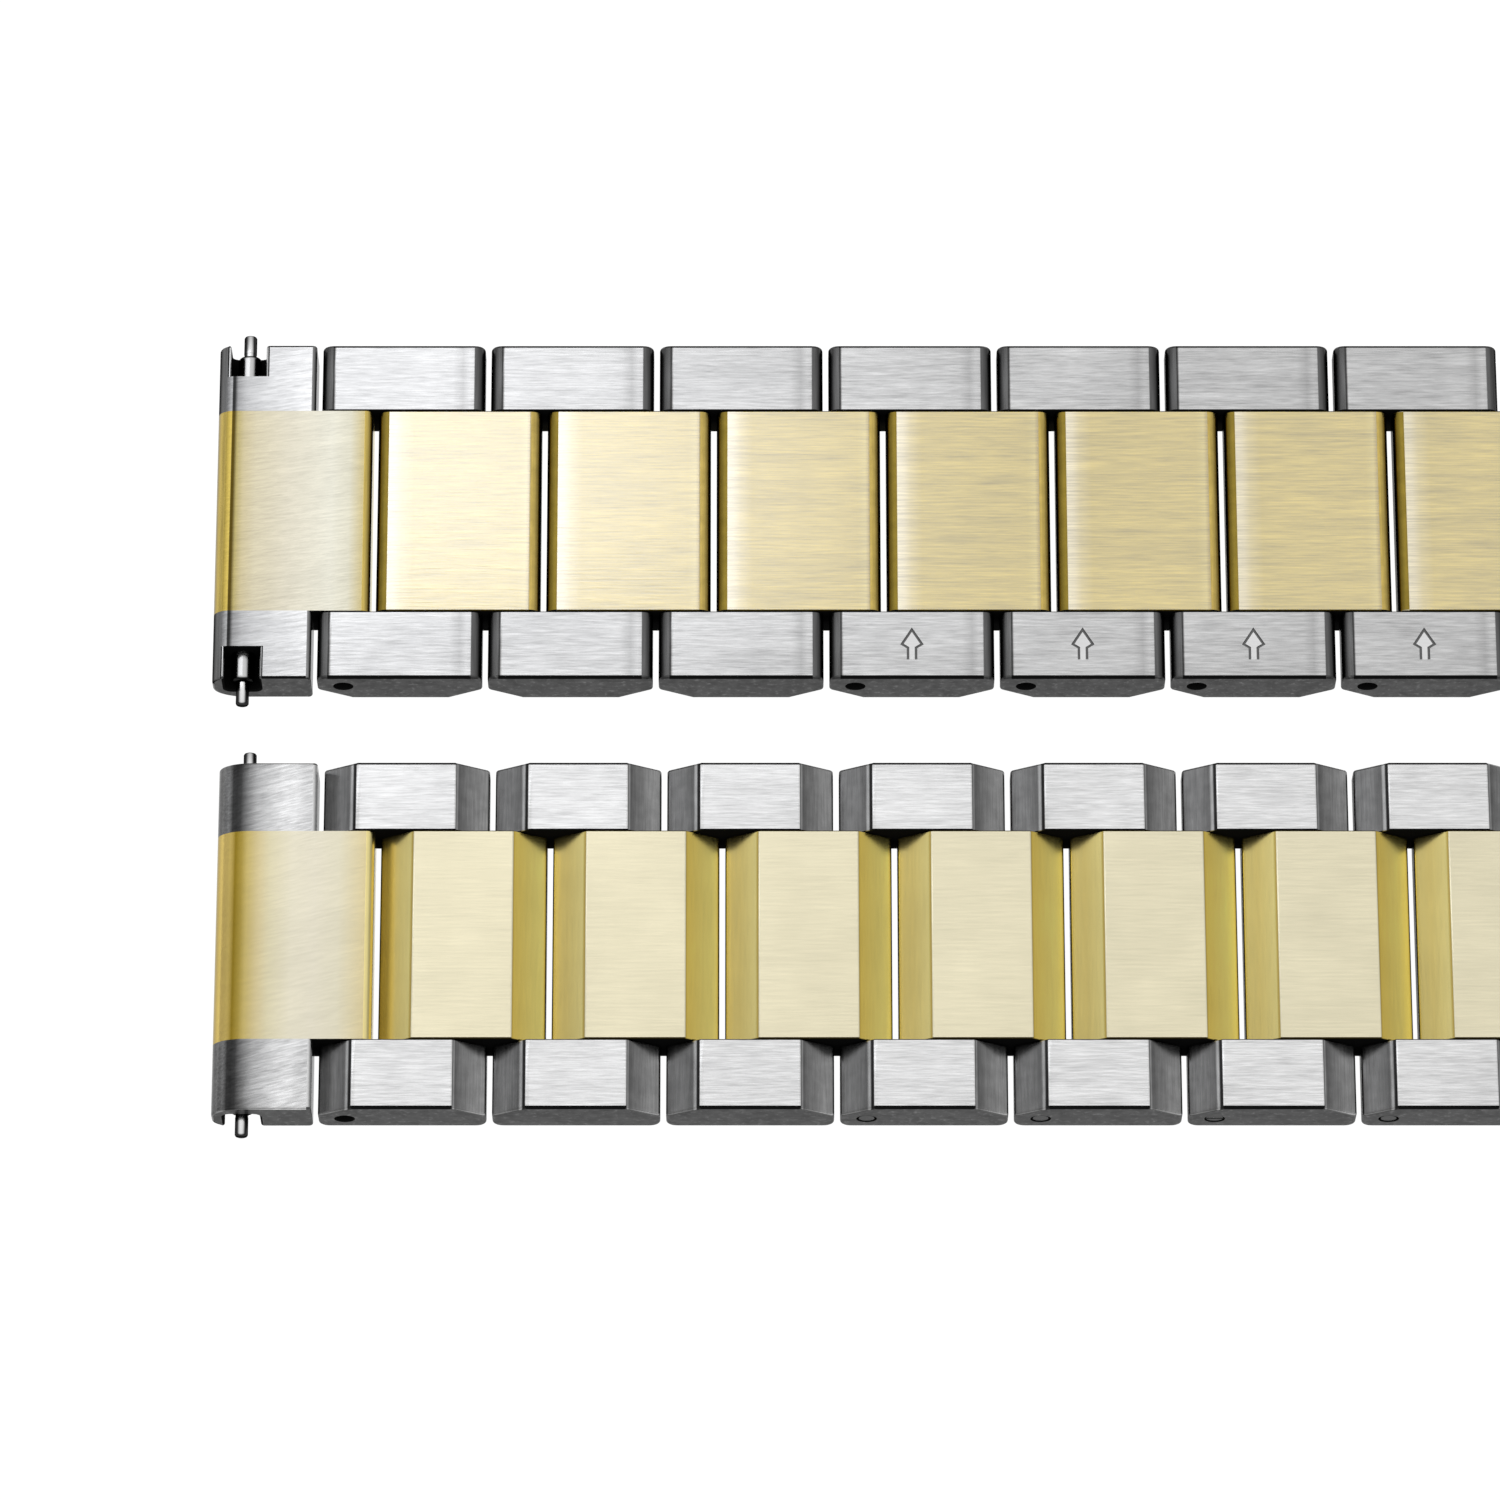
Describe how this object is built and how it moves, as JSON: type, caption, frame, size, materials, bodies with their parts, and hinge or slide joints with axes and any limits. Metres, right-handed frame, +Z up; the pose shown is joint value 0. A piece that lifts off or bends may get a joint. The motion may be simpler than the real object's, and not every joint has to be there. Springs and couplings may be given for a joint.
{
  "type": "metal watch bracelet",
  "caption": "Two-tone metal watch bracelet: hinged flat steel and gold-coloured links, spring bars at the case ends and a folding clasp; one half lies face up, the other underside up.",
  "frame": {"origin": "middle of the whole in X and Y, on the surface that both halves lie on", "axes": "+X runs along both halves from the case end to the clasp end, +Y from the half with the clasp to the other half, +Z up; the half at -Y lies face up and the half at +Y face down"},
  "size_m": [0.1086, 0.0472, 0.0039],
  "materials": {
    "brushed_steel": "brushed along the bracelet",
    "gold_plate": "gold-coloured plating on steel, brushed flats and polished bevels",
    "polished_steel": "turned and polished",
    "spring_steel": "drawn wire"
  },
  "bodies": {
    "six_end": {"six_end_link": "brushed_steel", "six_spring_bar_tube": "polished_steel", "six_spring_bar_spring": "spring_steel"},
    "six_tip_near": {"six_spring_bar_tip_near": "polished_steel"},
    "six_tip_far": {"six_spring_bar_tip_far": "polished_steel"},
    "six_row_1": {"six_row_1_outer_links": "brushed_steel", "six_row_1_centre_link": "gold_plate", "six_row_1_pins": "polished_steel"},
    "six_row_2": {"six_row_2_outer_links": "brushed_steel", "six_row_2_centre_link": "gold_plate", "six_row_2_pins": "polished_steel"},
    "six_row_3": {"six_row_3_outer_links": "brushed_steel", "six_row_3_centre_link": "gold_plate", "six_row_3_pins": "polished_steel"},
    "six_row_4": {"six_row_4_outer_links": "brushed_steel", "six_row_4_centre_link": "gold_plate", "six_row_4_pins": "polished_steel"},
    "six_row_5": {"six_row_5_outer_links": "brushed_steel", "six_row_5_centre_link": "gold_plate", "six_row_5_pins": "polished_steel"},
    "six_row_6": {"six_row_6_outer_links": "brushed_steel", "six_row_6_centre_link": "gold_plate", "six_row_6_pins": "polished_steel"},
    "six_row_7": {"six_row_7_outer_links": "brushed_steel", "six_row_7_centre_link": "gold_plate", "six_row_7_pins": "polished_steel"},
    "twelve_end": {"twelve_end_link": "brushed_steel", "twelve_spring_bar_tube": "polished_steel", "twelve_spring_bar_spring": "spring_steel"},
    "twelve_tip_near": {"twelve_spring_bar_tip_near": "polished_steel"},
    "twelve_tip_far": {"twelve_spring_bar_tip_far": "polished_steel"},
    "twelve_row_1": {"twelve_row_1_outer_links": "brushed_steel", "twelve_row_1_centre_link": "gold_plate", "twelve_row_1_pins": "polished_steel"},
    "twelve_row_2": {"twelve_row_2_outer_links": "brushed_steel", "twelve_row_2_centre_link": "gold_plate", "twelve_row_2_pins": "polished_steel"},
    "twelve_row_3": {"twelve_row_3_outer_links": "brushed_steel", "twelve_row_3_centre_link": "gold_plate", "twelve_row_3_pins": "polished_steel"},
    "twelve_row_4": {"twelve_row_4_outer_links": "brushed_steel", "twelve_row_4_centre_link": "gold_plate", "twelve_row_4_pins": "polished_steel"},
    "twelve_row_5": {"twelve_row_5_outer_links": "brushed_steel", "twelve_row_5_centre_link": "gold_plate", "twelve_row_5_pins": "polished_steel"},
    "twelve_row_6": {"twelve_row_6_outer_links": "brushed_steel", "twelve_row_6_centre_link": "gold_plate", "twelve_row_6_pins": "polished_steel"},
    "twelve_row_7": {"twelve_row_7_outer_links": "brushed_steel", "twelve_row_7_centre_link": "gold_plate", "twelve_row_7_pins": "polished_steel"},
    "clasp_base": {"clasp_base_blade": "polished_steel", "clasp_base_pins": "polished_steel"},
    "clasp_fold": {"clasp_fold_blade": "polished_steel"},
    "clasp_cover": {"clasp_cover": "brushed_steel", "clasp_cover_pin": "polished_steel", "clasp_adjusting_bar": "polished_steel"},
    "clasp_tip_near": {"clasp_adjusting_tip_near": "polished_steel"},
    "clasp_tip_far": {"clasp_adjusting_tip_far": "polished_steel"}
  },
  "joints": [
    {"name": "six_tip_near_press", "type": "slide", "parent": "six_end", "child": "six_tip_near", "axis": [0, 1, 0], "range_m": [0, 0.0009], "stiffness_N_per_m": 500, "deforming": ["six_spring_bar_spring"]},
    {"name": "six_tip_far_press", "type": "slide", "parent": "six_end", "child": "six_tip_far", "axis": [0, -1, 0], "range_m": [0, 0.0009], "stiffness_N_per_m": 500, "deforming": ["six_spring_bar_spring"]},
    {"name": "six_hinge_1", "type": "hinge", "parent": "six_end", "child": "six_row_1", "pos_m": [-0.04665, -0.01247, 0.00125], "axis": [0, -1, 0], "range_deg": [-35, 12]},
    {"name": "six_hinge_2", "type": "hinge", "parent": "six_row_1", "child": "six_row_2", "pos_m": [-0.03725, -0.01247, 0.00125], "axis": [0, -1, 0], "range_deg": [-35, 20]},
    {"name": "six_hinge_3", "type": "hinge", "parent": "six_row_2", "child": "six_row_3", "pos_m": [-0.02785, -0.01247, 0.00125], "axis": [0, -1, 0], "range_deg": [-35, 20]},
    {"name": "six_hinge_4", "type": "hinge", "parent": "six_row_3", "child": "six_row_4", "pos_m": [-0.01845, -0.01247, 0.00125], "axis": [0, -1, 0], "range_deg": [-35, 20]},
    {"name": "six_hinge_5", "type": "hinge", "parent": "six_row_4", "child": "six_row_5", "pos_m": [-0.00905, -0.01247, 0.00125], "axis": [0, -1, 0], "range_deg": [-35, 20]},
    {"name": "six_hinge_6", "type": "hinge", "parent": "six_row_5", "child": "six_row_6", "pos_m": [0.00035, -0.01247, 0.00125], "axis": [0, -1, 0], "range_deg": [-35, 20]},
    {"name": "six_hinge_7", "type": "hinge", "parent": "six_row_6", "child": "six_row_7", "pos_m": [0.00975, -0.01247, 0.00125], "axis": [0, -1, 0], "range_deg": [-35, 20]},
    {"name": "twelve_half_lift", "type": "slide", "parent": "six_end", "child": "twelve_end", "axis": [0, 0, 1], "range_m": [0, 0.04]},
    {"name": "twelve_tip_near_press", "type": "slide", "parent": "twelve_end", "child": "twelve_tip_near", "axis": [0, 1, 0], "range_m": [0, 0.0009], "stiffness_N_per_m": 500, "deforming": ["twelve_spring_bar_spring"]},
    {"name": "twelve_tip_far_press", "type": "slide", "parent": "twelve_end", "child": "twelve_tip_far", "axis": [0, -1, 0], "range_m": [0, 0.0009], "stiffness_N_per_m": 500, "deforming": ["twelve_spring_bar_spring"]},
    {"name": "twelve_hinge_1", "type": "hinge", "parent": "twelve_end", "child": "twelve_row_1", "pos_m": [-0.04715, 0.01247, 0.00175], "axis": [0, 1, 0], "range_deg": [-35, 12]},
    {"name": "twelve_hinge_2", "type": "hinge", "parent": "twelve_row_1", "child": "twelve_row_2", "pos_m": [-0.03775, 0.01247, 0.00175], "axis": [0, 1, 0], "range_deg": [-35, 20]},
    {"name": "twelve_hinge_3", "type": "hinge", "parent": "twelve_row_2", "child": "twelve_row_3", "pos_m": [-0.02835, 0.01247, 0.00175], "axis": [0, 1, 0], "range_deg": [-35, 20]},
    {"name": "twelve_hinge_4", "type": "hinge", "parent": "twelve_row_3", "child": "twelve_row_4", "pos_m": [-0.01895, 0.01247, 0.00175], "axis": [0, 1, 0], "range_deg": [-35, 20]},
    {"name": "twelve_hinge_5", "type": "hinge", "parent": "twelve_row_4", "child": "twelve_row_5", "pos_m": [-0.00955, 0.01247, 0.00175], "axis": [0, 1, 0], "range_deg": [-35, 20]},
    {"name": "twelve_hinge_6", "type": "hinge", "parent": "twelve_row_5", "child": "twelve_row_6", "pos_m": [-0.00015, 0.01247, 0.00175], "axis": [0, 1, 0], "range_deg": [-35, 20]},
    {"name": "twelve_hinge_7", "type": "hinge", "parent": "twelve_row_6", "child": "twelve_row_7", "pos_m": [0.00925, 0.01247, 0.00175], "axis": [0, 1, 0], "range_deg": [-35, 20]},
    {"name": "six_hinge_8", "type": "hinge", "parent": "six_row_7", "child": "clasp_base", "pos_m": [0.01915, -0.01247, 0.00125], "axis": [0, -1, 0], "range_deg": [-35, 20]},
    {"name": "clasp_fold_hinge", "type": "hinge", "parent": "clasp_base", "child": "clasp_fold", "pos_m": [0.04515, -0.01247, 0.0009], "axis": [0, 1, 0], "range_deg": [0, 165]},
    {"name": "clasp_cover_hinge", "type": "hinge", "parent": "clasp_fold", "child": "clasp_cover", "pos_m": [0.02515, -0.01247, 0.0019], "axis": [0, -1, 0], "range_deg": [0, 165]},
    {"name": "clasp_tip_near_press", "type": "slide", "parent": "clasp_cover", "child": "clasp_tip_near", "axis": [0, 1, 0], "range_m": [0, 0.0009], "stiffness_N_per_m": 500},
    {"name": "clasp_tip_far_press", "type": "slide", "parent": "clasp_cover", "child": "clasp_tip_far", "axis": [0, -1, 0], "range_m": [0, 0.0009], "stiffness_N_per_m": 500}
  ],
  "couplings": [
    {"joint": "clasp_cover_hinge", "follows": "clasp_fold_hinge", "ratio": 1}
  ]
}
